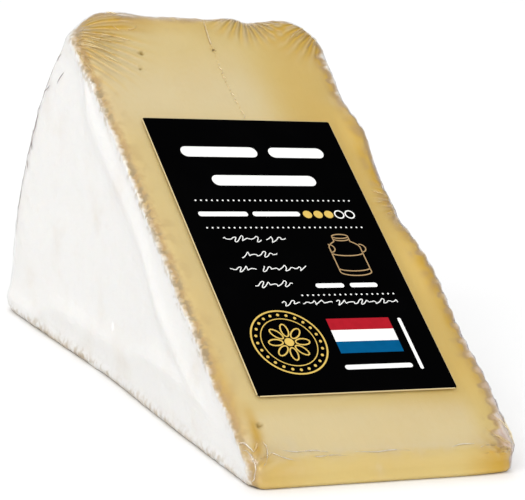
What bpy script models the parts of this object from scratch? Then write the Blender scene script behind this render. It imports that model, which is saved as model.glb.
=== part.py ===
"""A wedge cut from a wheel of goat brie, sealed in tight clear film, with a label on its sloping face.

The wedge stands on one cut face. X runs across the wheel's height, from one rind side to the other,
Y from the blunt nose at the wheel's centre to the rim, and Z up. The origin is under the middle of
the wedge, on the surface that it stands on.
"""

import math

import bmesh
import bpy
from mathutils import Matrix, Vector

# Driving dimensions, in metres and radians
WHEEL_RADIUS = 0.105
WHEEL_HEIGHT = 0.0468
SLICE_ANGLE = math.radians(33.3)
NOSE_CUT = 0.0064
LABEL_WIDTH = 0.0354
LABEL_LENGTH = 0.0588

# Roundings of the wrapped wedge: the rim's edge is tight at the foot and soft at the top
RIM_ROUND_FOOT = 0.0025
RIM_ROUND_TOP = 0.0078
RIM_ROUND_START = 0.5
CUT_EDGE_ROUND = 0.0018
RIM_CORNER_TRIM = 0.0022
NOSE_CORNER_TRIM = 0.0012
NOSE_LEAST_HEIGHT = 0.0006
NOSE_FALL = 1.4

# The rind's lip beside the cut faces, and the small crags along its upper edges
LIP_RISE = 0.0003
LIP_REACH = 0.0022
LIP_END = 0.0065
CRAG_PITCH = 0.003
NEAR_CRAG_DEPTH = 0.00016
FAR_CRAG_DEPTH = 0.00035
CRAG_FADE = 0.009
CRAG_DRIFT = 0.0093
CRAG_SWELL = 0.0127
NEAR_SIDE_PHASE = 0.7
FAR_SIDE_PHASE = 2.9

# The film draws the long edges in halfway along them, and a little all along the foot
WAIST_DEPTH = 0.0009
WAIST_MIDDLE = 0.062
WAIST_LENGTH = 0.018
FOOT_BOW = 0.0003

# The near side leans out this much from its foot to its upper edge
NEAR_LEAN = 0.0009

# The label lies on the sloping face, this far up it from the wheel's centre and off its middle
LABEL_MIDDLE = 0.0488
LABEL_SHIFT = -0.0011
LABEL_THICKNESS = 0.00025
LABEL_CORNER = 0.0005
GAP = 0.0003

# Points along each stretch of the outline
BOTTOM_STEPS = 40
RIM_STEPS = 16
SLOPE_STEPS = 112
NOSE_STEPS = 2
CORNER_STEPS = 3

HALF_HEIGHT = WHEEL_HEIGHT / 2
WHEEL_CENTRE = Vector((NEAR_LEAN / 2, -(NOSE_CUT + WHEEL_RADIUS) / 2, 0.0))
SHARP_ANGLE = math.radians(40)


def round_inset(radius, reach):
    """How far a rounded edge of this radius has drawn in, at this reach along it."""
    return radius - math.sqrt(max(radius ** 2 - reach ** 2, 0.0))


def rim_point(across, face_inset, angle):
    """A point of the rim, this far from the wedge's middle and at this angle up the slice."""
    softness = max(angle / SLICE_ANGLE - RIM_ROUND_START, 0.0) / (1 - RIM_ROUND_START)
    rounding = RIM_ROUND_FOOT + (RIM_ROUND_TOP - RIM_ROUND_FOOT) * softness ** 2
    reach = min(max(across - HALF_HEIGHT + rounding, 0.0), rounding)
    radius = WHEEL_RADIUS - round_inset(rounding, reach) - face_inset
    return Vector((radius * math.cos(angle), radius * math.sin(angle)))


def towards(point, other, distance):
    """The place this far from point on the way to other."""
    return point + (other - point).normalized() * distance


def steps(start, end, count):
    """Points from start up to, but without, end."""
    return [start.lerp(end, i / count) for i in range(count)]


def corner(before, point, after):
    """A rounded corner from before to after that bends at point, without its last point."""
    curve = []
    for i in range(CORNER_STEPS):
        t = i / CORNER_STEPS
        curve.append(before.lerp(point, t).lerp(point.lerp(after, t), t))
    return curve


def outline(across, cut_inset, face_inset):
    """The wedge's outline seen along X, from the wheel's centre, with its cuts and rim drawn in."""
    turn = math.asin(cut_inset / WHEEL_RADIUS)
    trim_turn = RIM_CORNER_TRIM / WHEEL_RADIUS
    nose_height = max(NOSE_CUT * math.tan(SLICE_ANGLE) - NOSE_FALL * cut_inset, NOSE_LEAST_HEIGHT)
    lean = cut_inset / math.cos(SLICE_ANGLE)
    nose_y = (nose_height + cut_inset + lean) / math.tan(SLICE_ANGLE)
    trim = min(NOSE_CORNER_TRIM, nose_height / 3)

    nose_low = Vector((nose_y, cut_inset))
    nose_high = Vector((nose_y, cut_inset + nose_height))
    rim_low = rim_point(across, face_inset, turn)
    rim_high = rim_point(across, face_inset, SLICE_ANGLE - turn)
    rim_start = rim_point(across, face_inset, turn + trim_turn)
    rim_end = rim_point(across, face_inset, SLICE_ANGLE - turn - trim_turn)

    bottom_start = towards(nose_low, rim_low, trim)
    bottom_end = towards(rim_low, nose_low, RIM_CORNER_TRIM)
    slope_start = towards(rim_high, nose_high, RIM_CORNER_TRIM)
    slope_end = towards(nose_high, rim_high, trim)
    nose_start = towards(nose_high, nose_low, trim)
    nose_end = towards(nose_low, nose_high, trim)

    points = steps(bottom_start, bottom_end, BOTTOM_STEPS)
    points += corner(bottom_end, rim_low, rim_start)
    sweep = SLICE_ANGLE - 2 * (turn + trim_turn)
    for i in range(RIM_STEPS):
        points.append(rim_point(across, face_inset, turn + trim_turn + sweep * i / RIM_STEPS))
    points += corner(rim_end, rim_high, slope_start)
    points += steps(slope_start, slope_end, SLOPE_STEPS)
    points += corner(slope_end, nose_high, nose_start)
    points += steps(nose_start, nose_end, NOSE_STEPS)
    points += corner(nose_end, nose_low, bottom_start)
    return points


def height_share(point):
    """How far up the slice a point of the outline lies: 0 at its foot, 1 on the sloping face."""
    return math.atan2(point.y, point.x) / SLICE_ANGLE


def crag(point, depth, phase):
    """How far the rind's uneven edge stands out: it is pressed smooth at the foot."""
    reach = point.length
    from_nose = (reach - NOSE_CUT) / CRAG_FADE
    from_rim = (WHEEL_RADIUS - RIM_ROUND_TOP - reach) / CRAG_FADE
    fade = max(min(from_nose, from_rim, 1.0), 0.0)
    swell = 0.65 + 0.35 * math.sin(reach / CRAG_SWELL + 2 * phase)
    wave = math.sin(math.tau * reach / CRAG_PITCH + 0.8 * math.sin(reach / CRAG_DRIFT) + phase)
    return depth * fade * swell * wave * height_share(point)


def set_out(point, side):
    """How far a side stands out: the film draws its long edges in, and the near side leans."""
    height = height_share(point)
    waist = WAIST_DEPTH * math.exp(-((point.length - WAIST_MIDDLE) / WAIST_LENGTH) ** 2)
    along = (point.length - NOSE_CUT) / (WHEEL_RADIUS - NOSE_CUT)
    bow = 4 * FOOT_BOW * along * (1 - along) * (1 - height)
    if side > 0:
        return -waist * height - bow
    return NEAR_LEAN * height - waist * (1 - height) - bow


def stations():
    """From the wedge's middle out to a side: distance across, insets, and share of the crags."""
    straight = RIM_ROUND_TOP - CUT_EDGE_ROUND
    found = []
    for share in (0.0, 0.4, 0.7, 0.9):
        found.append((HALF_HEIGHT - RIM_ROUND_TOP + straight * share, 0.0, 0.0, share / 2))
    for degrees in (0, 30, 60, 90):
        turned = CUT_EDGE_ROUND * math.sin(math.radians(degrees))
        across = HALF_HEIGHT - CUT_EDGE_ROUND + turned
        found.append((across, round_inset(CUT_EDGE_ROUND, turned), 0.0, 0.7 + degrees / 300))
    for reach, rise, share in ((LIP_REACH, LIP_RISE, 0.7), (LIP_END, -LIP_RISE, 0.0)):
        found.append((HALF_HEIGHT + rise, CUT_EDGE_ROUND + reach, reach, share))
    return found


def add_ring(mesh, side, station):
    """One closed outline in the mesh, on this side of the wedge's middle, and its edges."""
    across, cut_inset, face_inset, share = station
    phase = FAR_SIDE_PHASE if side > 0 else NEAR_SIDE_PHASE
    depth = FAR_CRAG_DEPTH if side > 0 else NEAR_CRAG_DEPTH
    verts = []
    for point in outline(across, cut_inset, face_inset):
        x = across + share * crag(point, depth, phase)
        x += set_out(point, side) * across / HALF_HEIGHT
        verts.append(mesh.verts.new(WHEEL_CENTRE + Vector((side * x, point.x, point.y))))
    return [mesh.edges.new((verts[i - 1], verts[i])) for i in range(len(verts))]


def close_side(mesh, ring):
    """Fills a side of the wedge with triangles that meet in its middle."""
    side = bmesh.ops.contextual_create(mesh, geom=ring)
    bmesh.ops.poke(mesh, faces=side["faces"])


def material(name, colour, roughness):
    made = bpy.data.materials.new(name)
    made.use_nodes = True
    shader = made.node_tree.nodes["Principled BSDF"]
    shader.inputs["Base Color"].default_value = (*colour, 1.0)
    shader.inputs["Roughness"].default_value = roughness
    shader.inputs["Metallic"].default_value = 0.0
    return made


def add_object(name, mesh, finish):
    """A finished mesh becomes one named object with its own material."""
    bmesh.ops.recalc_face_normals(mesh, faces=mesh.faces)
    data = bpy.data.meshes.new(name)
    mesh.to_mesh(data)
    mesh.free()
    data.shade_smooth()
    data.set_sharp_from_angle(angle=SHARP_ANGLE)
    data.materials.append(finish)
    made = bpy.data.objects.new(name, data)
    bpy.context.scene.collection.objects.link(made)
    return made


def wrapped_wedge():
    """The cheese in its film: outlines across the wheel's height, joined and closed at both sides."""
    mesh = bmesh.new()
    outwards = stations()
    rings = [add_ring(mesh, -1, station) for station in reversed(outwards)]
    rings += [add_ring(mesh, 1, station) for station in outwards]
    for first, second in zip(rings, rings[1:]):
        bmesh.ops.bridge_loops(mesh, edges=first + second)
    close_side(mesh, rings[0])
    close_side(mesh, rings[-1])
    return add_object("wrapped_wedge", mesh, material("film_over_cheese", (0.69, 0.54, 0.26), 0.3))


def label(wedge):
    """A thin paper rectangle that lies along the sloping face."""
    mesh = bmesh.new()
    size = Matrix.Diagonal((LABEL_WIDTH, LABEL_LENGTH, LABEL_THICKNESS, 1.0))
    bmesh.ops.create_cube(mesh, size=1.0, matrix=size)
    upright = [edge for edge in mesh.edges if abs(edge.verts[0].co.z - edge.verts[1].co.z) > GAP / 2]
    bmesh.ops.bevel(
        mesh, geom=upright, offset=LABEL_CORNER, segments=2, profile=0.5, affect="EDGES", material=-1
    )
    made = add_object("label", mesh, material("label_paper", (0.006, 0.006, 0.007), 0.45))
    along = Vector((0.0, math.cos(SLICE_ANGLE), math.sin(SLICE_ANGLE)))
    outward = Vector((0.0, -math.sin(SLICE_ANGLE), math.cos(SLICE_ANGLE)))
    made.location = WHEEL_CENTRE + along * LABEL_MIDDLE + outward * (GAP + LABEL_THICKNESS / 2)
    made.location.x += LABEL_SHIFT
    made.rotation_euler.x = SLICE_ANGLE
    made.parent = wedge
    return made


def main():
    for item in list(bpy.data.objects):
        bpy.data.objects.remove(item)
    label(wrapped_wedge())


main()
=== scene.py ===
"""Looks of a wedge of goat brie: rind and paste, tight clear film and a printed label.

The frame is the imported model. X runs across the wheel's height, Y from the blunt nose to the rim
and Z up. Places on the wedge are given from the wheel's centre, as they are on the real cheese.
"""

import math
import random

import bmesh
import bpy
import numpy as np
from bpy.props import FloatProperty, FloatVectorProperty, IntProperty, PointerProperty
from bpy.types import Operator, Panel, PropertyGroup
from mathutils import Matrix, Vector, noise
from mathutils.bvhtree import BVHTree


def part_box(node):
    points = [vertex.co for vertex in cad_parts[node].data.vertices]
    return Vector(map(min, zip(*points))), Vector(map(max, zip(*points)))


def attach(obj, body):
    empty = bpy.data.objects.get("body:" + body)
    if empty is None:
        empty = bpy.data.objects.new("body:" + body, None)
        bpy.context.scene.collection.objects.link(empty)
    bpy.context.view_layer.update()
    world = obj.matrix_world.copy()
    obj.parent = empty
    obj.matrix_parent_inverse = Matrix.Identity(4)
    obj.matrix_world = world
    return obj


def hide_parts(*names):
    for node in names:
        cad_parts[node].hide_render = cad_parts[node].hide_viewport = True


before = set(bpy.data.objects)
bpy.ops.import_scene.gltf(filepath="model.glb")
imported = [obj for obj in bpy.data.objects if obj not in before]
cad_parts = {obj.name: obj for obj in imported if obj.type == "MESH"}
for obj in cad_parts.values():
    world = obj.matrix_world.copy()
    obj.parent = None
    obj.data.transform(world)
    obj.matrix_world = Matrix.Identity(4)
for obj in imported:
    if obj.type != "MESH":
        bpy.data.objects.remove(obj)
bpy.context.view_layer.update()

bl_info = {
    "name": "Wrapped Cheese Wedge",
    "version": (1, 0, 0),
    "blender": (4, 5, 0),
    "location": "View3D > Sidebar > Cheese Wedge",
    "description": "Dresses a wedge of goat brie in rind, paste, clear film and a printed label",
    "category": "Object",
}

# Places and sizes on the wedge are in millimetres, and those of the scene in metres
MM = 0.001

# The wedge as a slice of a wheel
SLICE_ANGLE = math.radians(33.3)
NOSE_CUT = 6.4
WHEEL_HEIGHT = 46.8
HALF_HEIGHT = WHEEL_HEIGHT / 2
NEAR_LEAN = 0.9
WHEEL_RADIUS = 105
WHEEL_CENTRE = Vector((NEAR_LEAN / 2, -(NOSE_CUT + WHEEL_RADIUS) / 2, 0.0))

# The film draws the long edges in, halfway along them
WAIST_DEPTH = 0.9
WAIST_MIDDLE = 62
WAIST_LENGTH = 18

# It draws the foot in a little all along
FOOT_BOW = 0.3

# The crags along the rind's far edge, in step with those of the solid
CRAG_PITCH = 3
CRAG_DRIFT = 9.3
CRAG_PHASE = 2.9

# The label lies on the sloping face
LABEL_WIDTH = 35.4
LABEL_LENGTH = 58.8
LABEL_THICKNESS = 0.25

NEAR, FAR = -1, 1
ALONG = Vector((0.0, math.cos(SLICE_ANGLE), math.sin(SLICE_ANGLE)))
OUTWARD = Vector((0.0, -math.sin(SLICE_ANGLE), math.cos(SLICE_ANGLE)))


# Settings

def colour_setting(name, description, default):
    """A colour."""
    return FloatVectorProperty(
        name=name, description=description, default=default, subtype="COLOR", size=3, min=0, max=1,
    )


def length_setting(name, description, default, low):
    """A length whose default and lowest value are given in millimetres."""
    return FloatProperty(
        name=name, description=description, default=default * MM, min=low * MM, unit="LENGTH",
    )


def share_setting(name, description, default, high=1.0):
    """A number from 0 up to the highest."""
    return FloatProperty(
        name=name, description=description, default=default, min=0, max=high, subtype="FACTOR",
    )


def angle_setting(name, description, degrees):
    """An angle whose default is given in degrees."""
    return FloatProperty(name=name, description=description, default=math.radians(degrees), unit="ROTATION")


class WedgeSettings(PropertyGroup):
    """Sizes of the cheese under its film."""

    grain: length_setting("Mesh grain", "Voxel size of the cheese's mesh", 0.5, 0.3)
    film_gap: length_setting("Under film", "How far the cheese lies under its film", 0.2, 0.0)
    crown: length_setting("Crown", "How far the soft paste swells under the label", 0.14, 0.0)
    lip: length_setting("Rind lip", "How far the rind's lip stands up beside the cut", 0.42, 0.0)
    bead: length_setting("Rind bead", "How far the rind's pale beads reach over the far edge", 1.0, 0.0)


class CheeseColours(PropertyGroup):
    """Colours of the paste and the rind."""

    paste: colour_setting("Paste", "Colour of the cut paste", (0.655, 0.506, 0.197))
    pale: colour_setting("Pale paste", "Colour of the paste's hazy patches", (0.69, 0.575, 0.333))
    amber: colour_setting("Amber paste", "Colour of the ripe paste at corners and edges", (0.58, 0.36, 0.04))
    edge: colour_setting("Edge line", "Colour of the line between paste and rind", (0.46, 0.31, 0.14))
    rind: colour_setting("Rind", "Colour of the white bloom", (0.868, 0.858, 0.838))
    # This colour also paints the shade in the groove beside the paste's line
    shade: colour_setting("Rind shade", "Colour of the bloom's thin places", (0.68, 0.58, 0.46))
    speck: colour_setting("Rind speck", "Colour of the specks along the rind's foot", (0.42, 0.33, 0.2))
    # Painted shade of the bunched film's folds over the rind, with the film's pinkish tint
    bunched_rind_shade: colour_setting("Bunched rind", "Colour of the rind under bunched film", (0.6, 0.43, 0.33))


class FilmSettings(PropertyGroup):
    """The clear film."""

    grain: length_setting("Mesh grain", "Voxel size of the film's mesh", 0.6, 0.3)
    roughness: share_setting("Roughness", "Roughness of the film", 0.22)
    fold: share_setting("Fold height", "Share of the film's fold heights", 1.0, 3.0)
    haze: share_setting("Haze", "How much of the light a fold of the film throws back", 0.35)
    pleat_width: length_setting("Pleat width", "Width of a fine pleat of the film", 0.34, 0.1)
    pleat_height: length_setting("Pleat height", "How far a fine pleat stands up", 0.11, 0.02)
    seed: IntProperty(name="Seed", description="Seed of the film's fine pleats", default=7, min=0)


class LabelSettings(PropertyGroup):
    """The label and its print."""

    ground: colour_setting("Ground", "Colour of the label", (0.0009, 0.0009, 0.001))
    white: colour_setting("White ink", "Colour of the white print", (0.88, 0.88, 0.86))
    gold: colour_setting("Gold ink", "Colour of the gold print", (0.66, 0.46, 0.114))
    tan: colour_setting("Tan ink", "Colour of the thin line drawing", (0.42, 0.28, 0.14))
    red: colour_setting("Red ink", "Colour of the upper stripe", (0.385, 0.0122, 0.0218))
    blue: colour_setting("Blue ink", "Colour of the lower stripe", (0.0018, 0.086, 0.215))
    cut: colour_setting("Stock", "Colour of the label's cut edge and back", (0.7, 0.58, 0.34))
    ink: length_setting("Ink height", "How far the print stands on the label", 0.04, 0.01)


class StageSettings(PropertyGroup):
    """Camera, floor and lights."""

    azimuth: angle_setting("Azimuth", "Turn of the camera round the wedge", -29.25)
    elevation: angle_setting("Elevation", "Height of the camera above the horizon", 12.82)
    roll: angle_setting("Roll", "Roll of the camera", 6.61)
    eye: FloatVectorProperty(
        name="Eye", description="Place of the camera",
        subtype="TRANSLATION", unit="LENGTH", size=3, default=(-0.17479, -0.31536, 0.10544),
    )
    lens: FloatProperty(
        name="Lens", description="Focal length in millimetres on a 36 mm sensor",
        default=152.3, min=1.0,
    )
    sky: FloatProperty(
        name="Sky", description="Strength of the even light from all round",
        default=0.74, min=0.0,
    )
    floor_reach: FloatProperty(
        name="Floor", description="Length of the floor's side",
        default=8.0, min=0.1, unit="LENGTH",
    )


SETTINGS = {
    "wedge_sizes": WedgeSettings,
    "wedge_colours": CheeseColours,
    "wedge_film": FilmSettings,
    "wedge_label": LabelSettings,
    "wedge_stage": StageSettings,
}


# Shader nodes

class Shade:
    """One output socket of a node. Expressions on it add Math nodes to its tree."""

    def __init__(self, tree, socket):
        self.tree = tree
        self.socket = socket

    def math(self, operation, *values):
        """The result of a Math node on this socket and the other values."""
        inputs = dict(enumerate((self, *values)))
        return node(self.tree, "ShaderNodeMath", {"operation": operation}, inputs)

    def __add__(self, other):
        return self.math("ADD", other)

    __radd__ = __add__

    def __mul__(self, other):
        return self.math("MULTIPLY", other)

    __rmul__ = __mul__

    def __sub__(self, other):
        return self.math("SUBTRACT", other)

    def __rsub__(self, other):
        return (self * -1.0) + other

    def __pow__(self, other):
        return self.math("POWER", other)

    def rise(self, start, end):
        """0 below start, 1 above end, smooth between them. It falls where start is above end."""
        inputs = {"Value": self, "From Min": start, "From Max": end}
        settings = {"interpolation_type": "SMOOTHSTEP"}
        return node(self.tree, "ShaderNodeMapRange", settings, inputs, "Result")

    def clamp(self):
        return node(self.tree, "ShaderNodeClamp", {}, {"Value": self})


def find(sockets, key):
    """A socket by its number, identifier or name."""
    if isinstance(key, int):
        return sockets[key]
    return next(s for s in sockets if key in (s.identifier, s.name))


def node(tree, kind, settings=None, inputs=None, output=0):
    """Adds a node: its settings first, then the values or links of its sockets."""
    made = tree.nodes.new(kind)
    for name, value in (settings or {}).items():
        setattr(made, name, value)
    for key, value in (inputs or {}).items():
        socket = find(made.inputs, key)
        if isinstance(value, Shade):
            tree.links.new(value.socket, socket)
        elif socket.type == "RGBA" and len(value) == 3:
            socket.default_value = (*value, 1.0)
        else:
            socket.default_value = value
    return Shade(tree, find(made.outputs, output))


def mix(factor, first, second):
    """Colour that goes from first to second as the factor goes from 0 to 1."""
    inputs = {"Factor_Float": factor, "A_Color": first, "B_Color": second}
    return node(factor.tree, "ShaderNodeMix", {"data_type": "RGBA"}, inputs, "Result_Color")


def layered(base, layers):
    """A colour with others laid over it, each by its own share."""
    for share, colour in layers:
        base = mix(share, base, colour)
    return base


def scaled(colour, share):
    """A darker or lighter colour."""
    return tuple(c * share for c in colour)


def attribute(tree, name):
    """A number that the mesh carries on its vertices."""
    return node(tree, "ShaderNodeAttribute", {"attribute_name": name}, {}, "Fac")


def grain(place, size, detail=2.0, roughness=0.5):
    """Noise from 0 to 1 with lumps of about this size, in millimetres."""
    inputs = {"Vector": place, "Scale": 0.6 / (size * MM), "Detail": detail, "Roughness": roughness}
    return node(place.tree, "ShaderNodeTexNoise", {}, inputs, "Fac")


def squeezed(place, x, y, z):
    """The same place, scaled along each axis, for stretched patterns."""
    return node(place.tree, "ShaderNodeMapping", {}, {"Vector": place, "Scale": (x, y, z)}, "Vector")


def bump(height, distance):
    """A normal from a height of 0 to 1, where 1 stands this far out, in millimetres."""
    return node(height.tree, "ShaderNodeBump", {}, {"Height": height, "Distance": distance * MM}, "Normal")


def new_material(name):
    """A material with an empty tree, that tree, and the Object coordinates in it."""
    made = bpy.data.materials.new(name)
    made.use_nodes = True
    tree = made.node_tree
    tree.nodes.clear()
    place = node(tree, "ShaderNodeTexCoord", {}, {}, "Object")
    return made, tree, place


def finish_with(tree, shader):
    """Links a shader to the material's output."""
    out = tree.nodes.new("ShaderNodeOutputMaterial")
    tree.links.new(shader.socket, out.inputs["Surface"])


def coat(tree, inputs):
    """Gives the material a Principled shader with these inputs."""
    finish_with(tree, node(tree, "ShaderNodeBsdfPrincipled", {}, inputs, "BSDF"))


def see_through(tree, factor, clear, gloss):
    """Gives the material a shader that throws back this share of the light, and lets the rest through."""
    through = node(tree, "ShaderNodeBsdfTransparent", {}, {"Color": clear}, "BSDF")
    back = node(tree, "ShaderNodeBsdfGlossy", {}, gloss, "BSDF")
    finish_with(tree, node(tree, "ShaderNodeMixShader", {}, {0: factor, 1: through, 2: back}))


# Places on the wedge

class Lie:
    """Where points of the wedge lie, as arrays in millimetres."""

    def __init__(self, points):
        self.across = points[:, 0] - WHEEL_CENTRE.x
        self.forward = points[:, 1] - WHEEL_CENTRE.y
        self.up = points[:, 2]
        self.side = np.where(self.across < 0, NEAR, FAR)
        self.reach = np.hypot(self.forward, self.up)
        self.along = self.forward * ALONG.y + self.up * ALONG.z
        self.under_slope = self.forward * ALONG.z - self.up * ALONG.y
        self.from_nose = self.forward - NOSE_CUT
        self.from_rim = WHEEL_RADIUS - self.reach
        self.under_side = HALF_HEIGHT + set_out(self) - np.abs(self.across)
        self.under_rind = np.minimum(self.under_side, self.from_rim)
        self.under_cut = np.minimum(np.minimum(self.up, self.under_slope), self.from_nose)
        self.inwards = self.under_rind - self.under_cut
        self.on_slope = np.exp(-(np.maximum(self.under_slope, 0.0) / 0.9) ** 2)


def set_out(lie):
    """How far each side stands out, as in the solid."""
    height_share = np.arctan2(lie.up, lie.forward) / SLICE_ANGLE
    waist = WAIST_DEPTH * np.exp(-((lie.reach - WAIST_MIDDLE) / WAIST_LENGTH) ** 2)
    along = (lie.reach - NOSE_CUT) / (WHEEL_RADIUS - NOSE_CUT)
    bow = 4 * FOOT_BOW * along * (1 - along) * (1 - height_share)
    near = NEAR_LEAN * height_share - waist * (1 - height_share)
    return np.where(lie.side < 0, near, -waist * height_share) - bow


def crag(reach):
    """The rind's wave along the far edge, from -1 to 1."""
    return np.sin(math.tau * reach / CRAG_PITCH + 0.8 * np.sin(reach / CRAG_DRIFT) + CRAG_PHASE)


def hill(distance, width):
    """A smooth hill of height 1 over a distance of 0."""
    return np.exp(-(distance / width) ** 2)


def ramp(value, start, end):
    """0 below start, 1 above end, smooth between them. It falls where start is above end."""
    share = np.clip((value - start) / (end - start), 0.0, 1.0)
    return share * share * (3 - 2 * share)


def plateau(value, up, down):
    """1 between a rise and a fall, each from one place to another."""
    return ramp(value, *up) * ramp(value, *down)


def blob(points, place, width):
    """A smooth hill of height 1 and this half width round a place."""
    return hill(np.linalg.norm(points - np.array(place), axis=1), width)


def lumps(points, size, seed=0.0):
    """Smooth noise from -1 to 1 at each point."""
    shift = Vector((seed, 2.3 * seed, 5.1 * seed))
    return np.array([noise.noise(Vector(p) / size + shift) for p in points])


def on_slope(across, along, lift=0.0):
    """A place on the sloping face, across and up it from the wheel's centre."""
    place = WHEEL_CENTRE + ALONG * along + OUTWARD * lift
    return Vector((across, place.y, place.z))


def on_near_side(forward, up):
    """A place on the near side, forward and up from the wheel's centre."""
    return WHEEL_CENTRE + Vector((-HALF_HEIGHT - NEAR_LEAN * 0.5, forward, up))


def on_nose(across, up):
    """A place on the blunt nose."""
    return Vector((across, WHEEL_CENTRE.y + NOSE_CUT, up))


def crease_share(points, path, width):
    """How much each point lies on a crease along a path: 1 on it, 0 away from it, less at its ends."""
    share = np.zeros(len(points))
    lengths = [(b - a).length for a, b in zip(path, path[1:])]
    whole = sum(lengths)
    done = 0.0
    for start, end, length in zip(path, path[1:], lengths):
        a, way = np.array(start), np.array((end - start) / length)
        from_start = (points - a) @ way
        held = np.clip(from_start, 0.0, length)
        off = np.linalg.norm(points - a - held[:, None] * way, axis=1)
        position = (done + held) / whole
        taper = np.sin(np.clip(position, 0.02, 0.98) * math.pi) ** 0.6
        share = np.maximum(share, taper * hill(off, width))
        done += length
    return share


# Meshes

def merged_copy(name):
    """A bmesh of a CAD node, with its loose triangles joined."""
    mesh = bmesh.new()
    mesh.from_mesh(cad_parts[name].data)
    bmesh.ops.remove_doubles(mesh, verts=mesh.verts, dist=0.001 * MM)
    return mesh


def as_data(name, mesh):
    """Mesh data from a bmesh, which is freed."""
    data = bpy.data.meshes.new(name)
    mesh.to_mesh(data)
    mesh.free()
    return data


def placed(name, data):
    """A new object in the scene."""
    made = bpy.data.objects.new(name, data)
    bpy.context.scene.collection.objects.link(made)
    return made


def add_object(name, data, finish, smooth=True):
    """Finished mesh data becomes a piece that rides on the body."""
    data.name = name
    data.materials.clear()
    data.materials.append(finish)
    for polygon in data.polygons:
        polygon.use_smooth = smooth
    made = placed(name, data)
    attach(made, "root")
    return made


def remeshed_wedge(voxel, smoothing):
    """The wedge's solid as a closed mesh of even quads."""
    data = as_data("rough", merged_copy("wrapped_wedge"))
    rough = placed("rough", data)
    remesh = rough.modifiers.new("Remesh", "REMESH")
    remesh.mode = "VOXEL"
    remesh.voxel_size = voxel
    smooth = rough.modifiers.new("Smooth", "SMOOTH")
    smooth.factor = 0.5
    smooth.iterations = smoothing
    graph = bpy.context.evaluated_depsgraph_get()
    made = bpy.data.meshes.new_from_object(rough.evaluated_get(graph))
    bpy.data.objects.remove(rough)
    bpy.data.meshes.remove(data)
    return made


def read_vertices(data):
    """Places and normals of a mesh's vertices, as arrays."""
    count = len(data.vertices)
    places, normals = np.empty(count * 3), np.empty(count * 3)
    data.vertices.foreach_get("co", places)
    data.vertex_normals.foreach_get("vector", normals)
    return places.reshape(-1, 3) / MM, normals.reshape(-1, 3)


def move_vertices(data, places, lowest):
    """Moves the vertices to their new places, and none below the lowest height."""
    places[:, 2] = np.maximum(places[:, 2], lowest)
    data.vertices.foreach_set("co", (places * MM).reshape(-1))
    data.update()


def write_attributes(data, attributes):
    """Gives the vertices these numbers, for the material to read."""
    for name, values in attributes.items():
        layer = data.attributes.new(name, "FLOAT", "POINT")
        layer.data.foreach_set("value", np.asarray(values, dtype=np.float32))


# Cheese

def far_bunches(lie):
    """How far the paste is drawn over the far edge where the film bunches."""
    lower = 0.8 * ramp(lie.along, 38, 26) + 2.2 * ramp(lie.along, 18, 9)
    return lower * ramp(lie.along, 7.6, 8.8) + 0.8 * plateau(lie.along, (81, 85), (99, 95))


def paste_reach(lie, points):
    """How far inwards from the wedge's edge the rind's line lies: below 0 it lies on the rind's side."""
    ragged = 0.4 * lumps(points, 3.4, 21.0) + 0.25 * lumps(points, 1.3, 23.0)
    near = ragged - 0.9 + 0.4 * hill(lie.reach - WAIST_MIDDLE, WAIST_LENGTH)
    bead = bpy.context.scene.wedge_sizes.bead / MM * ramp(crag(lie.reach), -0.2, 0.8)
    bead = bead * (1 - 0.8 * plateau(lie.along, (60, 64), (86, 81)))
    far = -0.5 + far_bunches(lie) + bead + 1.3 * ragged
    by_side = np.where(lie.side < 0, near, far)
    at_rim = lie.from_rim < lie.under_side
    by_side = np.where(at_rim, 0.3 + ragged, by_side)
    at_foot = (lie.up < lie.under_slope) & (lie.up < lie.from_nose)
    return np.where(at_foot, 0.3, by_side)


def lip_place(lie):
    """How far from the cut the rind's raised lip runs on the near side."""
    upper = ramp(lie.reach, 84, 92)
    lower = ramp(lie.reach, 58, 44)
    return 6.0 - 3.6 * upper + 2.2 * lower


def lip_relief(lie):
    """The rind's lip beside the cut and the fall behind it."""
    outwards = -lie.inwards
    lip_at = lip_place(lie)
    crest = hill(outwards - lip_at, 1.5)
    fall = ramp(outwards, lip_at + 0.4, lip_at + 5.0)
    lip = bpy.context.scene.wedge_sizes.lip / MM
    return ramp(outwards, 0.0, 1.2) * lip * (crest - 0.5 * fall)


def rind_waves(lie, points):
    """The rind's soft unevenness."""
    waves = 0.22 * lumps(points, 9) + 0.1 * lumps(points, 2.6, 3.0)
    return waves * ramp(-lie.inwards, 0.0, 1.2)


def flat_sides(lie, normals):
    """Brings the flat sides level where the solid's faces turn a little."""
    return lie.under_side * ramp(np.abs(normals[:, 0]), 0.85, 0.98)


def edge_relief(off_line, points):
    """Small tufts of rind along the line where it meets the paste."""
    tufts = 0.1 * lumps(points, 0.8, 5.0) + 0.12 * lumps(points, 1.7, 8.0)
    groove = -0.14 * hill(off_line - 0.4, 0.45)
    bead = 0.14 * hill(off_line + 0.5, 0.7)
    return tufts * hill(off_line, 1.5) + groove + bead


def edge_fill(lie):
    """Fills out the solid's rounded edges where the real ones are sharper: the foot and the far edge."""
    def beside(value):
        return np.clip(1 - value / 1.8, 0.0, 1.0)

    under = np.minimum(lie.under_rind, lie.from_nose)
    foot = 1.2 * beside(lie.up) * beside(under)
    far_edge = 0.5 * beside(lie.under_slope) * beside(lie.under_side) * (lie.side > 0)
    return foot + far_edge


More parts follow.
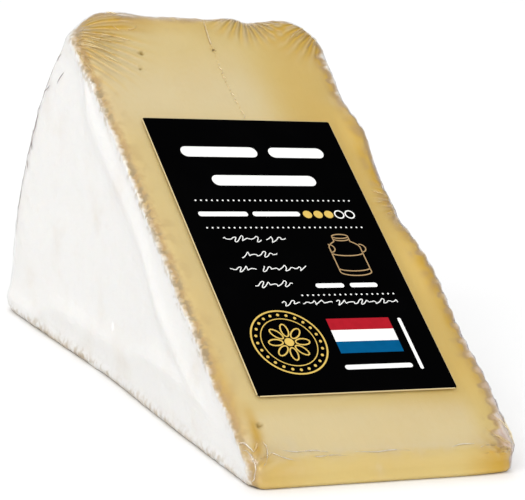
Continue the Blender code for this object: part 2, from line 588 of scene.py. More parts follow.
SLOPE_SWELLS = (
    # Across and up the slope, half width and height
    (-14.5, 103.5, 5.0, 0.75), (-23.5, 102.5, 3.2, -0.7), (-2.0, 104.5, 6.0, 0.35), (7.5, 104.5, 3.0, 0.6),
    (10.8, 104.5, 1.8, -0.4), (20.0, 104.0, 5.0, 0.95), (24.5, 99.0, 3.0, 0.3), (23.4, 85.5, 3.5, -0.35),
    (23.4, 76.0, 5.5, 0.95), (23.0, 56.5, 2.2, -0.45), (23.4, 45.0, 9.0, 0.95), (23.4, 22.0, 6.0, 0.4),
)
NOSE_SWELLS = (
    # Across and up the nose, half width and height
    (23.0, 2.0, 5.0, -0.45),
)
NEAR_SIDE_SWELLS = (
    # Forward and up the near side, half width and height
    (91.0, 47.0, 9.0, 0.5), (98.0, 34.0, 9.0, 0.45), (102.5, 19.0, 9.0, 0.5),
)


def swells(lie, points):
    """Where the cheese bulges under its film, or the film pulls it in. The label holds both flat."""
    bulge = np.zeros(len(points))
    for face, places in ((on_slope, SLOPE_SWELLS), (on_nose, NOSE_SWELLS), (on_near_side, NEAR_SIDE_SWELLS)):
        for first, second, width, height in places:
            bulge += height * blob(points, face(first, second), width)
    under_label = ramp(np.abs(lie.across), 21.5, 18) * plateau(lie.along, (15, 18), (84, 81))
    return bulge * (1 - under_label)


def paste_relief(lie, points):
    """The soft swell of the paste under the label, and its slight waves."""
    sizes = bpy.context.scene.wedge_sizes
    inside = ramp(lie.inwards, 0.8, 4.5) * lie.on_slope
    swell = sizes.crown / MM * inside * plateau(lie.along, (8, 14), (101, 92))
    waves = -0.08 * (1 + lumps(points, 7, 11.0)) * lie.on_slope
    return swell + waves * ramp(lie.inwards, 0.0, 2)


PITS = (
    # Across and up the slope, and half width
    (-12.8, 94.7, 0.55), (-19.6, 14.6, 0.5), (-14.2, 90.8, 0.35),
    (19.5, 8.9, 0.4), (20.6, 7.9, 0.45), (20.3, 6.8, 0.35),
)
PIT_DEPTH = 0.5


def pit_relief(points):
    """A few small holes in the paste."""
    depth = np.zeros(len(points))
    for across, along, half_width in PITS:
        depth -= PIT_DEPTH * blob(points, on_slope(across, along), half_width)
    return depth


def body_relief(lie, points, normals):
    """The forms that the cheese and its film share."""
    lips = lip_relief(lie) + edge_fill(lie) + paste_relief(lie, points)
    return lips + swells(lie, points) + flat_sides(lie, normals)


def brown_drop(lie):
    """A brown drop beside the near rind, low on the slope."""
    drop = hill(lie.across + 23.8, 1.4) * hill(lie.along - 21, 8)
    return drop * ramp(lie.along, 12.3, 13.6)


def stain_share(lie, points):
    """Where the paste is browner: the drop, a band beside the near rind and spots beside the far one."""
    near_band = ramp(lie.under_side, 6.0, 2.0) * (lie.side < 0) * lie.on_slope
    near_band = near_band * ramp(lie.along, 96, 84)
    far_band = ramp(lie.under_side, 3.8, 1.4) * (lie.side > 0) * lie.on_slope
    far_band = far_band * ramp(lie.along, 28, 44)
    spots = far_band * ramp(lumps(points, 1.9, 43.0), -0.1, 0.45)
    return 0.35 * brown_drop(lie) + 0.7 * spots + near_band * (0.09 + 0.09 * lumps(points, 3, 37.0))


YELLOW_STREAK = ((-20.5, 18.5), (-20.5, 15.1), (-20.8, 12.5), (-21.4, 9.9), (-22.6, 6.0))
AMBER_SPOTS = (
    # Across and up the slope, half width and half length, and share
    (-21, 101, 6.5, 4.2, 1.0), (-16, 103, 6, 2.4, 0.8), (-25, 96, 2.4, 5, 0.6), (23, 99, 4, 5, 0.5),
)


def amber_share(lie, points):
    """Where the paste is ripe and darker: corners, edges, the nose and two streaks."""
    whole = 0.45 * ramp(lie.along, 98, 104)
    for across, along, width, length, share in AMBER_SPOTS:
        spot = hill(points[:, 0] - across, width) * hill(lie.along - along, length)
        whole += share * spot
    uneven = 0.55 + 0.55 * lumps(points, 2.6, 31.0)
    whole += uneven * ramp(lie.under_side, 3.6, 0.9) * (lie.side > 0)
    whole += 0.42 * ramp(lie.across, 4, 16) * ramp(lie.along, 12, 26)
    whole += 0.1 * hill(lie.under_side, 4) * (lie.side < 0)
    streak = crease_share(points, [on_slope(*place) for place in YELLOW_STREAK], 0.9)
    whole += 0.8 * brown_drop(lie) + 0.9 * streak
    whole += 0.02 * ramp(lie.along, 9, 6.5)
    nose_ends = ramp(np.abs(lie.across), 11, 21) * ramp(lie.along, 12, 6)
    whole += (0.62 + 0.3 * lie.side) * nose_ends
    return np.clip(whole, 0.0, 1.0)


def pale_share(lie):
    """Where the film stands off the paste a little and it looks paler."""
    below_label = 0.9 * ramp(lie.along, 20, 15) * ramp(lie.across, 20, 15)
    above_label = hill(lie.along - 84, 12) * ramp(lie.across, 12, 2)
    near_half = 0.45 * ramp(lie.across, 8, -8)
    on_face = ramp(lie.along, 7.8, 9.5)
    return np.clip(np.maximum(near_half, np.maximum(below_label, above_label)) * on_face, 0.0, 1.0)


def speck_share(lie):
    """Where the rind's foot shows specks, along its lower edge."""
    foot = 0.8 * hill(lie.up - 0.2, 0.9) * (lie.under_side < lie.up + 2)
    groups = np.full(len(lie.up), 0.25)
    for at, length in ((87.5, 4), (79, 2.5), (72.3, 3), (50.8, 2.5), (44, 2), (36, 2.5), (22, 3)):
        groups += hill(lie.forward - at, length)
    return foot * groups


def fan(place, apex, lines, reach, wobble):
    """Fine wrinkles that spread from an apex on the sloping face, from -1 to 1."""
    parts = place.tree.nodes.new("ShaderNodeSeparateXYZ")
    place.tree.links.new(place.socket, parts.inputs[0])
    x, y, z = (Shade(place.tree, parts.outputs[i]) for i in range(3))
    start, reach = on_slope(*apex) * MM, reach * MM
    across = x - start.x
    along = (y - start.y) * ALONG.y + (z - start.z) * ALONG.z
    angle = across.math("ARCTAN2", along)
    distance = (across * across + along * along) ** 0.5
    wave = (angle * lines + grain(place, 6) * wobble).math("SINE")
    near = distance.rise(0.15 * reach, 0.35 * reach)
    return wave * near * distance.rise(reach, 0.45 * reach)


FANS = (
    # Apex on the slope, lines for each radian, reach and wobble
    ((-28.0, 100.5), 44.0, 21, 7.0),
    ((27.0, 105.0), 40.0, 17, 8.0),
    ((10.5, 106.5), 26.0, 11, 5.0),
    ((27.5, 59.5), 26.0, 10, 6.0),
    ((25.5, 3.0), 30.0, 12, 6.0),
    ((-26.5, 3.5), 24.0, 12, 6.0),
)


def wrinkle_lines(place):
    """All the fans of wrinkles on the sloping face, from -1 to 1."""
    lines = fan(place, *FANS[0])
    for values in FANS[1:]:
        lines = lines + fan(place, *values)
    return lines * attribute(place.tree, "slope")


def paste_colour(place, colours, ragged, dots, creases):
    """The cut paste: pale, ripe and stained patches, painted highlight and painted shade along the film's
    wrinkles, painted shade in the pits, and a brown line beside the rind.
    """
    far = attribute(place.tree, "far")
    blotch = grain(place, 0.9, 3.0)
    line = ragged.rise(-0.9, 0.1) * ragged.rise(2.6 - far * 1.2, 0.7) * (blotch * 2.8 - 0.5).clamp()
    mottle = grain(place, 1.7, 3.0).rise(0.5, 0.64) * ragged.rise(5.5 - far * 2.5, 1.0)
    cloud = grain(place, 9, 3.0)
    fine = grain(place, 0.5, 3.0)
    pale = attribute(place.tree, "pale") + cloud * 0.4 - 0.2
    amber = attribute(place.tree, "amber") + (cloud - 0.5) * 0.5 + (fine - 0.5) * 0.14
    return layered(mix(pale, colours.paste, colours.pale), (
        (amber, colours.amber),
        # Painted highlight and painted shade along the film's wrinkles: pale on their raised side, amber on
        # the other, where the film also presses the paste darker
        (creases * 0.5, colours.pale),
        (creases * -0.5, colours.amber),
        (attribute(place.tree, "stain"), colours.edge),
        (mottle * 0.4 * ragged.rise(-0.5, 0.5), colours.edge),
        (line * 0.95, colours.edge),
        (dots * 0.7, scaled(colours.speck, 0.75)),
        # Painted shade in the pits: the paste turns deep amber, most where a pit is deepest
        (attribute(place.tree, "pit"), scaled(colours.amber, 0.5)),
    ))


def rind_colour(place, colours, ragged, dots, bloom, felt):
    """White bloom: thin places, painted shade beside the paste with a fringe of beads, the rind under
    bunched film with its painted shade, and specks along the foot.
    """
    far = attribute(place.tree, "far")
    thin = bloom.rise(0.5, 0.8) * 0.22 + felt.rise(0.55, 0.9) * 0.2
    # Beside the paste: painted shade in the groove on the near side, the rind's own cream beads on the far
    # side
    fringe_and_groove_shade = ragged.rise(-2.0, -0.1) * (grain(place, 0.8, 3.0).rise(0.38, 0.62) + far * 0.4).clamp()
    # Lighter streaks between the bunched film's painted shade
    streaks = grain(squeezed(place, 1.0, 0.22, 0.22), 0.8, 3.0).rise(0.35, 0.65)
    bunched_rind_shade = mix(streaks, tuple(0.4 + 0.6 * c for c in colours.bunched_rind_shade), colours.bunched_rind_shade)
    specks = attribute(place.tree, "speck") * grain(place, 0.6, 3.0).rise(0.46, 0.6)
    return layered(mix(thin, colours.rind, colours.shade), (
        # A greyer band a little further out on the rind: painted shade beside the lip
        (ragged.rise(-3.4, -1.0) * 0.4, scaled(colours.rind, 0.9)),
        (fringe_and_groove_shade * 0.8, colours.shade),
        (dots * 0.45, colours.speck),
        (attribute(place.tree, "bunch"), bunched_rind_shade),
        (specks, colours.speck),
    ))


def cheese_material(colours):
    """Straw paste and white bloom, told apart by the distance from the rind's line."""
    made, tree, place = new_material("cheese")
    inwards, run, far = (attribute(tree, name) for name in ("edge", "reach", "far"))
    hair_place = node(tree, "ShaderNodeCombineXYZ", {}, {0: run * 1.5 + inwards * 0.8, 1: inwards * 0.7})
    hairs = node(tree, "ShaderNodeTexNoise", {}, {"Vector": hair_place, "Scale": 1.0, "Detail": 3.0}, "Fac")
    tufts = (grain(place, 2.2) - 0.5) * 1.4 + (grain(place, 0.7, 3.0) - 0.5) * 1.6
    ragged = inwards + ((hairs - 0.5) * 1.1 + tufts) * (1 - far * 0.6)
    paste = ragged.rise(-0.9, 0.6)
    beside = ragged.rise(-2.6, -0.6) * ragged.rise(2.4, 0.8) * (1 - far)
    dots = grain(place, 0.7, 2.0).rise(0.5, 0.57) * beside * grain(place, 8).rise(0.36, 0.56)
    creases = wrinkle_lines(place)
    bloom = grain(place, 5, 4.0)
    felt = grain(place, 0.7, 3.0, 0.65)
    nap = felt * 0.5 + grain(place, 0.25, 2.0) * 0.25 + bloom * 0.6
    smear = grain(squeezed(place, 1.0, 0.35, 0.35), 1.2, 3.0) * 0.4 + creases * 0.8
    skin = rind_colour(place, colours, ragged, dots, bloom, felt)
    coat(tree, {
        "Base Color": mix(paste, skin, paste_colour(place, colours, ragged, dots, creases)),
        "Roughness": 0.82 - paste * 0.4,
        "Specular IOR Level": 0.15,
        "Subsurface Weight": 0.12,
        "Subsurface Radius": (1.0, 0.7, 0.4),
        "Subsurface Scale": 1.5 * MM,
        "Normal": bump(nap * (1 - paste) + smear * paste, 0.22),
    })
    return made


def add_cheese(context):
    """The cheese under its film: the solid's form with the rind's and the paste's relief."""
    sizes = context.scene.wedge_sizes
    data = remeshed_wedge(sizes.grain, 5)
    points, normals = read_vertices(data)
    lie = Lie(points)
    off_line = lie.inwards - paste_reach(lie, points)
    pits = pit_relief(points)
    rise = body_relief(lie, points, normals) + rind_waves(lie, points) + edge_relief(off_line, points)
    move_vertices(data, points + normals * (rise + pits - sizes.film_gap / MM)[:, None], 0.03)
    # Where the far rind lies under bunched film, for its painted shade
    bunched = ramp(lie.along, 42, 24) * ramp(lie.inwards, -5.5, -2.0)
    write_attributes(data, {
        "edge": off_line,
        "amber": amber_share(lie, points),
        "pale": pale_share(lie),
        "stain": stain_share(lie, points),
        "speck": speck_share(lie),
        "bunch": 0.9 * bunched * (lie.side > 0),
        "far": ramp(lie.across, -2, 2),
        "slope": lie.on_slope,
        "reach": lie.reach,
        # Depth in the pits, for their painted shade
        "pit": ramp(-pits, 0.12, 0.4),
    })
    made = add_object("cheese", data, cheese_material(context.scene.wedge_colours))
    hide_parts("wrapped_wedge")


# Film

def bowed(start, end, bow=(0.0, 0.0, 0.0)):
    """A path from start to end that bows out at its middle by this much."""
    path = []
    for i in range(7):
        t = i / 6
        path.append(start.lerp(end, t) + Vector(bow) * (4 * t * (1 - t)))
    return path


def film_creases():
    """Paths of the film's larger folds, each with its height, width and haze."""
    creases = [
        # Long faint pulls across the near side
        (bowed(on_near_side(80.5, 21.1), on_near_side(55.1, 2.8)), 0.24, 0.7, 0.2),
        (bowed(on_near_side(40.7, 13.0), on_near_side(22.7, 2.2)), 0.26, 0.6, 0.3),
        (bowed(on_near_side(36.0, 7.2), on_near_side(34.0, 1.4)), 0.24, 0.4, 0.4),
        # Loose film at the near end of the nose
        (bowed(on_slope(-23.4, 11.5), on_nose(-22.6, 1.4), (0.9, -1.6, 0.6)), 0.3, 0.7, 0.4),
        (bowed(on_slope(-24.4, 12.6), on_slope(-18.5, 8.6), (0.0, 0.0, 0.5)), 0.3, 0.7, 0.4),
        # Pulls in the middle and at the far end of the nose
        (bowed(on_nose(-2.4, 3.6), on_nose(-1.0, 0.8)), 0.2, 0.5, 0.3),
        (bowed(on_slope(23.2, 20.0), on_nose(22.6, 2.0), (0.8, -0.8, 0.4)), 0.25, 0.8, 0.5),
        (bowed(on_slope(20.5, 9.0), on_slope(23.6, 15.0)), 0.3, 0.5, 0.6),
        # The pucker in the middle of the top edge
        (bowed(on_slope(10.6, 104.2), on_slope(8.0, 97.0)), 0.2, 0.5, 0.3),
        (bowed(on_slope(11.0, 104.2), on_slope(13.0, 99.0)), 0.16, 0.4, 0.3),
    ]
    # Slanting pulls at the back of the near side
    for i in range(5):
        start = on_near_side(102.0 - i * 1.2, 20.0 + i * 5.0)
        end = on_near_side(93.5 - i * 1.0, 13.0 + i * 5.2)
        creases.append((bowed(start, end), 0.3, 0.45, 0.4))
    return creases


HAZY_PLACES = (
    # Across and up the slope, half width and share
    (-22.6, 100.6, 1.5, 0.5), (-13.4, 103.2, 1.6, 0.8), (-24.8, 11.6, 1.2, 0.6),
    (-16.0, 9.4, 3.0, 0.4), (20.0, 9.6, 1.8, 0.35), (-7.0, 104.2, 2.0, 0.3),
)


def hazy_patches(lie, points):
    """Where the film is bunched and lets less light through."""
    veil = 0.5 * ramp(lie.along, 34, 14) * ramp(lie.under_side, 3.6, 0.6)
    fold = 0.3 + 0.3 * lumps(points, 3, 41.0)
    veil = np.maximum(veil * (lie.side > 0), fold * hill(lie.along - 8.4, 1.4) * lie.on_slope)
    for across, along, width, share in HAZY_PLACES:
        veil = np.maximum(veil, share * blob(points, on_slope(across, along), width))
    return veil


def film_material(film):
    """Clear film: it lets light through, and throws back more of it on folds and at a slant."""
    made, tree, place = new_material("clear_film")
    ripple = grain(place, 3.5, 2.0) * 0.8 + wrinkle_lines(place) * 0.6
    normal = bump(ripple, 0.16)
    haze = attribute(tree, "haze") * (grain(place, 0.9, 3.0) * 2.2 - 0.4).clamp()
    slant = node(tree, "ShaderNodeFresnel", {}, {"IOR": 1.45, "Normal": normal})
    gloss = {"Color": (1.0, 1.0, 1.0), "Roughness": film.roughness, "Normal": normal}
    see_through(tree, (slant * 0.55 + haze * film.haze).clamp(), (1.0, 1.0, 1.0), gloss)
    return made


def add_film(context):
    """The film round the cheese: the solid's own outline, with folds and pulls at its corners."""
    film = context.scene.wedge_film
    data = remeshed_wedge(film.grain, 4)
    points, normals = read_vertices(data)
    lie = Lie(points)
    slack = 0.12 * ramp(np.abs(normals[:, 0]), 0.9, 0.4) + 0.03
    rise = body_relief(lie, points, normals) + slack * lumps(points, 8, 2.0)
    haze = hazy_patches(lie, points)
    for path, height, width, veil in film_creases():
        share = crease_share(points, path, width)
        rise += film.fold * height * share
        haze = np.maximum(haze, veil * share)
    move_vertices(data, points + normals * rise[:, None], 0.0)
    write_attributes(data, {"haze": haze, "slope": lie.on_slope})
    made = add_object("film", data, film_material(film))
    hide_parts("wrapped_wedge")


# Fine folds of the film

GATHERS = (
    # Apex on the slope, first and last turn from down the slope, first and last length, and count
    ((-28.0, 100.0), (24, 84), (4.6, 14.5), 13),
    ((-24.0, 107.0), (34, 70), (8.0, 14.5), 6),
    ((26.0, 105.0), (-64, -24), (4.5, 11.5), 7),
    ((11.0, 105.8), (-58, 58), (1.6, 6.0), 5),
    ((26.2, 60.0), (-118, -62), (2.8, 7.5), 5),
    ((26.0, 5.0), (-168, -104), (3.2, 10.5), 8),
    ((-26.4, 5.5), (108, 150), (5.5, 8.5), 2),
)

# Places up the slope along the far edge
FAR_RIM = (102, 95, 88, 81, 74, 66, 58, 50, 42, 34, 26, 18, 11)

# The weld's raised part down the slope, and where its stitches end
SEAM = ((1.9, 103.8), (1.6, 101.0), (1.35, 98.4), (1.2, 95.9))
SEAM_END = (1.5, 79.0)
STITCHES = 16
STROKE = (-1.0, -0.5, 0.0, 0.5, 1.0)

# Section of a fold: across and up, as shares of its width and height
FOLD_SECTION = ((-0.5, -0.5), (-0.26, 0.75), (0.0, 1.0), (0.26, 0.75), (0.5, -0.5))


def film_surface():
    """A search tree of the film's own surface, in metres."""
    mesh = bmesh.new()
    mesh.from_mesh(bpy.data.objects["film"].data)
    tree = BVHTree.FromBMesh(mesh)
    mesh.free()
    return tree


def add_ridge(mesh, surface, path, width, height):
    """A thin fold along a path, half sunk in the film and tapered to both ends."""
    held = [surface.find_nearest(place * MM)[:2] for place in path]
    last = len(held) - 1
    rings, rails = [], []
    for i, (place, normal) in enumerate(held):
        way = held[min(i + 1, last)][0] - held[max(i - 1, 0)][0]
        across = way.cross(normal).normalized()
        taper = 0.12 + 0.88 * math.sin(math.pi * i / last) ** 0.7
        wide, high = width * taper * MM, height * taper * MM
        corners = [place + across * (side * wide) + normal * (lift * high) for side, lift in FOLD_SECTION]
        ring = [mesh.verts.new(corner) for corner in corners]
        rings.append(ring)
        rails.append([mesh.edges.new((ring[j - 1], ring[j])) for j in range(len(ring))])
    for first, second in zip(rails, rails[1:]):
        bmesh.ops.bridge_loops(mesh, edges=first + second)
    mesh.faces.new(rings[0])
    mesh.faces.new(rings[-1])


def spread(apex, turns, lengths, count, draw):
    """Paths that spread from an apex on the sloping face, uneven as gathered film is."""
    paths = []
    for i in range(count):
        share = (i + draw.uniform(0.2, 0.8)) / count
        turn = math.radians(turns[0] + (turns[1] - turns[0]) * share)
        start = lengths[0] * draw.uniform(0.85, 1.6)
        end = lengths[1] * draw.uniform(0.6, 1.0)
        bend = math.radians(draw.uniform(-5, 9))
        path = []
        for j in range(11):
            out = start + (end - start) * j / 10
            way = turn + bend * (j / 10) ** 2
            path.append(on_slope(apex[0] + out * math.sin(way), apex[1] - out * math.cos(way)))
        paths.append(path)
    return paths


def fold_material(name, colour, veil, roughness, tint=0.25):
    """Film that is folded double: part of it lets light through, the rest throws it back."""
    made, tree, place = new_material(name)
    uneven = grain(place, 1.2, 2.0).rise(0.3, 0.7)
    shaded = tuple(1 - tint * (1 - c) for c in colour)
    see_through(tree, uneven * veil, shaded, {"Color": colour, "Roughness": roughness})
    return made


def finish_folds(name, mesh, finish):
    """A group of folds becomes a piece."""
    bmesh.ops.recalc_face_normals(mesh, faces=mesh.faces)
    add_object(name, as_data(name, mesh), finish)


def add_pleats(context):
    """The fine pleats where the film is gathered at the corners."""
    film = context.scene.wedge_film
    wide, high = film.pleat_width / MM, film.pleat_height / MM
    draw = random.Random(film.seed)
    surface = film_surface()
    mesh = bmesh.new()
    for apex, turns, lengths, count in GATHERS:
        for path in spread(apex, turns, lengths, count, draw):
            width = wide * draw.uniform(0.7, 1.3)
            add_ridge(mesh, surface, path, width, high * draw.uniform(0.7, 1.4))
    finish_folds("film_pleats", mesh, fold_material("film_pleats", (1.0, 0.88, 0.58), 0.3, 0.4))


EARS = (
    # Places on the slope, width and height
    (((-25.8, 11.6), (-24.6, 12.1), (-23.6, 11.6), (-22.8, 10.6), (-22.4, 9.6)), 0.34, 0.24),
    (((-20.3, 11.7), (-20.1, 10.2), (-20.6, 8.4), (-21.4, 6.9)), 0.24, 0.1),
    (((-19.9, 9.5), (-18.8, 8.9), (-17.4, 8.3), (-16.2, 7.9)), 0.22, 0.06),
    (((16.6, 8.2), (17.8, 8.6), (19.2, 8.4), (20.8, 8.0)), 0.24, 0.08),
    (((-17.5, 9.7), (-15.0, 9.3), (-12.5, 9.4), (-10.0, 9.0)), 0.3, 0.05),
    (((-15.0, 8.7), (-12.0, 8.3), (-9.5, 8.4), (-7.0, 8.1)), 0.26, 0.05),
    (((-5.5, 8.8), (-2.0, 8.5), (1.0, 8.7), (4.0, 8.4)), 0.24, 0.04),
    (((11.5, 8.6), (13.5, 9.0), (15.8, 8.9)), 0.24, 0.05),
)


def add_ears(context):
    """The stiff loops of film at the near end of the nose, and the light lines along its upper edge."""
    surface = film_surface()
    mesh = bmesh.new()
    for places, width, height in EARS:
        add_ridge(mesh, surface, smooth_path([on_slope(*place) for place in places]), width, height)
    tall = [on_slope(-24.4, 11.2), on_slope(-23.5, 9.6), on_slope(-23.1, 8.2), on_nose(-23.0, 3.9)]
    tall += [on_nose(-22.8, 2.4), on_nose(-23.2, 1.4), on_nose(-24.0, 0.9)]
    add_ridge(mesh, surface, smooth_path(tall, 24), 0.32, 0.3)
    finish_folds("film_ears", mesh, fold_material("film_ears", (1.0, 0.95, 0.85), 0.55, 0.3))


def smooth_path(knots, count=16):
    """Points along a smooth curve through the knots."""
    ends = [knots[0] * 2 - knots[1], *knots, knots[-1] * 2 - knots[-2]]
    path = []
    for i in range(count + 1):
        run = (len(knots) - 1) * i / count
        k = min(int(run), len(knots) - 2)
        t = run - k
        a, b, c, d = ends[k:k + 4]
        curve = b * 2 + (c - a) * t + (a * 2 - b * 5 + c * 4 - d) * t ** 2
        path.append((curve + (b * 3 - a - c * 3 + d) * t ** 3) / 2)
    return path


def add_seam(context):
    """The film's weld down the middle of the sloping face: a raised line, then a stitched one."""
    surface = film_surface()
    mesh = bmesh.new()
    add_ridge(mesh, surface, smooth_path([on_slope(*place) for place in SEAM]), 0.4, 0.22)
    start, end = SEAM[-1], SEAM_END
    for i in range(STITCHES):
        share = (i + 0.5) / STITCHES
        across = start[0] + (end[0] - start[0]) * share - 0.45 * math.sin(math.pi * share)
        along = start[1] + (end[1] - start[1]) * share
        lean = 0.24 if i % 2 else -0.24
        stitch = [on_slope(across + lean * t, along + 0.42 * t) for t in STROKE]
        add_ridge(mesh, surface, stitch, 0.24, 0.14)
    for turn in (-50, 50, 90):
        way = math.radians(turn)
        right, up = 0.75 * math.sin(way), 0.75 * math.cos(way)
        tick = [on_slope(start[0] + right * t, start[1] + up * t) for t in STROKE]
        add_ridge(mesh, surface, tick, 0.3, 0.2)
    finish_folds("film_seam", mesh, fold_material("film_seam", (1.0, 0.9, 0.68), 0.5, 0.4))


SIDE_WRINKLES = (
    # Places on the near side, forward and up from the wheel's centre
    ((85.8, 47.0), (87.3, 45.7), (88.3, 44.5)),
    ((91.0, 43.8), (92.4, 42.8), (94.0, 41.8), (95.4, 40.6)),
    ((87.6, 49.8), (88.4, 49.0), (88.9, 48.2)),
    ((97.8, 32.4), (97.3, 31.8), (97.1, 31.0)),
    ((98.4, 28.9), (98.6, 28.1), (98.5, 27.3)),
)


def add_rims(context):
    """The film's doubled lines along the far edge and the rim, and short wrinkles beside the rim, all dark:
    painted shade for the film's outline and the wrinkles' shading.
    """
    surface = film_surface()
    mesh = bmesh.new()
    far = [on_slope(24.0, along, -1.0) for along in FAR_RIM] + [on_nose(23.6, 3.4), on_nose(23.6, 1.2)]
    add_ridge(mesh, surface, smooth_path(far, 90), 0.5, 0.1)
    near = []
    for turn in range(8, 33, 2):
        way = math.radians(turn)
        reach = WHEEL_RADIUS - 2.0 + 0.3 * math.sin(turn * 0.55)
        near.append(on_near_side(reach * math.cos(way), reach * math.sin(way)))
    add_ridge(mesh, surface, smooth_path(near, 50), 0.28, 0.05)
    for places in SIDE_WRINKLES:
        add_ridge(mesh, surface, smooth_path([on_near_side(*place) for place in places], 8), 0.2, 0.05)
    # Dark tint: painted shade of the film's outline and wrinkles, partly the greyer look of film folded
    # double
    finish_folds("film_rims", mesh, fold_material("film_rims", (0.3, 0.2, 0.21), 0.15, 0.4, 0.4))


# Label

def label_place():
    """Matrix from the label's own plane, in metres, to the wedge: x across, y up the slope, z outwards."""
    low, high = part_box("label")
    top = (low + high) / 2 + OUTWARD * (LABEL_THICKNESS * MM / 2)
    return Matrix.Translation(top) @ Matrix.Rotation(SLICE_ANGLE, 4, "X")


def beyond_print(place):
    """How far a point of the label lies outside the printed sheet: below 0 in it, in metres."""
    low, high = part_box("label")

    def vector_math(operation, first, second, output):
        settings = {"operation": operation}
        return node(place.tree, "ShaderNodeVectorMath", settings, {0: first, 1: second}, output)

    off = vector_math("SUBTRACT", place, (low + high) / 2, "Vector")
    ways = ((1.0, 0.0, 0.0), ALONG, OUTWARD)
    across, along, outward = (vector_math("DOT_PRODUCT", off, way, "Value") for way in ways)
    beyond_side = across.math("ABSOLUTE") - LABEL_WIDTH * MM / 2
    beyond_end = along.math("ABSOLUTE") - LABEL_LENGTH * MM / 2
    below = -0.45 * LABEL_THICKNESS * MM - outward
    return beyond_side.math("MAXIMUM", beyond_end).math("MAXIMUM", below)


def label_material(label):
    """Coated black label stock with a faint tooth."""
    made, tree, place = new_material("label_paper")
    tooth = grain(place, 0.5, 3.0)
    worn = grain(place, 7, 2.0).rise(0.45, 0.8)
    cut = beyond_print(place).rise(-0.06 * MM, -0.03 * MM)
    coat(tree, {
        "Base Color": mix(cut, mix(worn * tooth, label.ground, scaled(label.ground, 2.0)), label.cut),
        "Roughness": 0.42 + tooth * 0.16,
        "Specular IOR Level": 0.0,
        "Normal": bump(tooth, 0.01),
    })
    return made


def ink_material(name, colour):
    """Printed ink: flat colour with a slight unevenness."""
    made, tree, place = new_material(name)
    patchy = grain(place, 0.8, 2.0)
    coat(tree, {
        "Base Color": mix(patchy.rise(0.35, 0.75), colour, scaled(colour, 0.9)),
        "Roughness": 0.5 + patchy * 0.1,
        "Specular IOR Level": 0.0,
    })
    return made


def add_print(name, colour, height, draw, *values):
    """A flat shape drawn in millimetres in the label's own plane, and laid on the label."""
    mesh = bmesh.new()
    draw(mesh, height, *values)
    sink = 0.01 * MM
    scale = Matrix.Diagonal((MM, MM, MM, 1.0))
    lay = label_place() @ Matrix.Translation((0.0, 0.0, -sink)) @ scale
    bmesh.ops.transform(mesh, matrix=lay, verts=mesh.verts)
    bmesh.ops.recalc_face_normals(mesh, faces=mesh.faces)
    add_object(name, as_data(name, mesh), ink_material(name, colour), smooth=False)


def add_bar(mesh, left, right, low, high, rounding, height):
    """A flat bar, with rounded ends where a rounding is given."""
    middle = ((left + right) / 2, (low + high) / 2, height / 2)
    size = Matrix.Diagonal((right - left, high - low, height, 1.0))
    made = bmesh.ops.create_cube(mesh, size=1.0, matrix=Matrix.Translation(middle) @ size)
    if rounding == 0:
        return
    upright = {
        edge for vert in made["verts"] for edge in vert.link_edges
        if abs(edge.verts[0].co.z - edge.verts[1].co.z) > height / 2
    }
    offset = min(rounding, (high - low) / 2.02, (right - left) / 2.02)
    bmesh.ops.bevel(
        mesh, geom=list(upright), offset=offset, segments=5, profile=0.5, affect="EDGES", material=-1,
    )


def add_disc(mesh, across, along, radius, height, sides=24):
    """A flat disc."""
    ring = bmesh.ops.create_circle(
        mesh, cap_ends=True, radius=radius, segments=sides,
        matrix=Matrix.Translation((across, along, 0.0)),
    )
    faces = list({face for vert in ring["verts"] for face in vert.link_faces})
    raised = bmesh.ops.extrude_face_region(mesh, geom=faces, use_keep_orig=True)
    tops = [item for item in raised["geom"] if isinstance(item, bmesh.types.BMVert)]
    bmesh.ops.translate(mesh, vec=(0.0, 0.0, height), verts=tops)


def add_stroke(mesh, path, width, height, closed=False):
    """A flat line of this width along a path in the label's plane."""
    count = len(path)
    rings, rails = [], []
    for i, point in enumerate(path):
        before = path[i - 1] if closed or i > 0 else point
        after = path[(i + 1) % count] if closed or i < count - 1 else point
        way = (after - before).normalized()
        off = Vector((-way.y, way.x)) * width / 2
        ring = []
        for side, lift in ((1, 0.0), (1, height), (-1, height), (-1, 0.0)):
            place = point + off * side
            ring.append(mesh.verts.new((place.x, place.y, lift)))
        rings.append(ring)
        rails.append([mesh.edges.new((ring[j - 1], ring[j])) for j in range(4)])
    pairs = list(zip(rails, rails[1:]))
    if closed:
        pairs.append((rails[-1], rails[0]))
    for first, second in pairs:
        bmesh.ops.bridge_loops(mesh, edges=first + second)
    if not closed:
        mesh.faces.new(rings[0])
        mesh.faces.new(rings[-1])


def around(centre, out, turn):
    """The point this far out from a centre, at this turn in radians."""
    return Vector((centre[0] + out * math.cos(turn), centre[1] + out * math.sin(turn)))


def arc(centre, radius, start, end, count, squash=1.0):
    """Points along an arc, angles in degrees, flattened by squash."""
    points = []
    for i in range(count):
        turn = math.radians(start + (end - start) * i / (count - 1))
        across, up = radius * math.cos(turn), radius * squash * math.sin(turn)
        points.append(Vector((centre[0] + across, centre[1] + up)))
    return points


def wavy(left, right, middle, height, seed):
    """A thin wavy line, uneven in its height and slant."""
    draw = random.Random(seed)
    points = []
    count = int((right - left) / 0.09)
    phase = draw.uniform(0, 6)
    for i in range(count + 1):
        x = left + (right - left) * i / count
        swell = 0.55 + 0.45 * math.sin(x * 1.7 + phase)
        wave = math.sin(x * 4.6 + 0.8 * math.sin(x * 1.3 + phase))
        slant = 0.3 * height * swell * wave
        points.append(Vector((x + slant + 0.1 * math.cos(x * 9.2), middle + height * 0.42 * swell * wave)))
    return points


def draw_title(mesh, height):
    """Three wide bars in two lines."""
    for left, right, middle in ((-13.2, 0.9, 21.7), (3.1, 13.6, 21.7), (-9.7, 9.6, 15.2)):
        add_bar(mesh, left, right, middle - 1.15, middle + 1.15, 1.1, height)


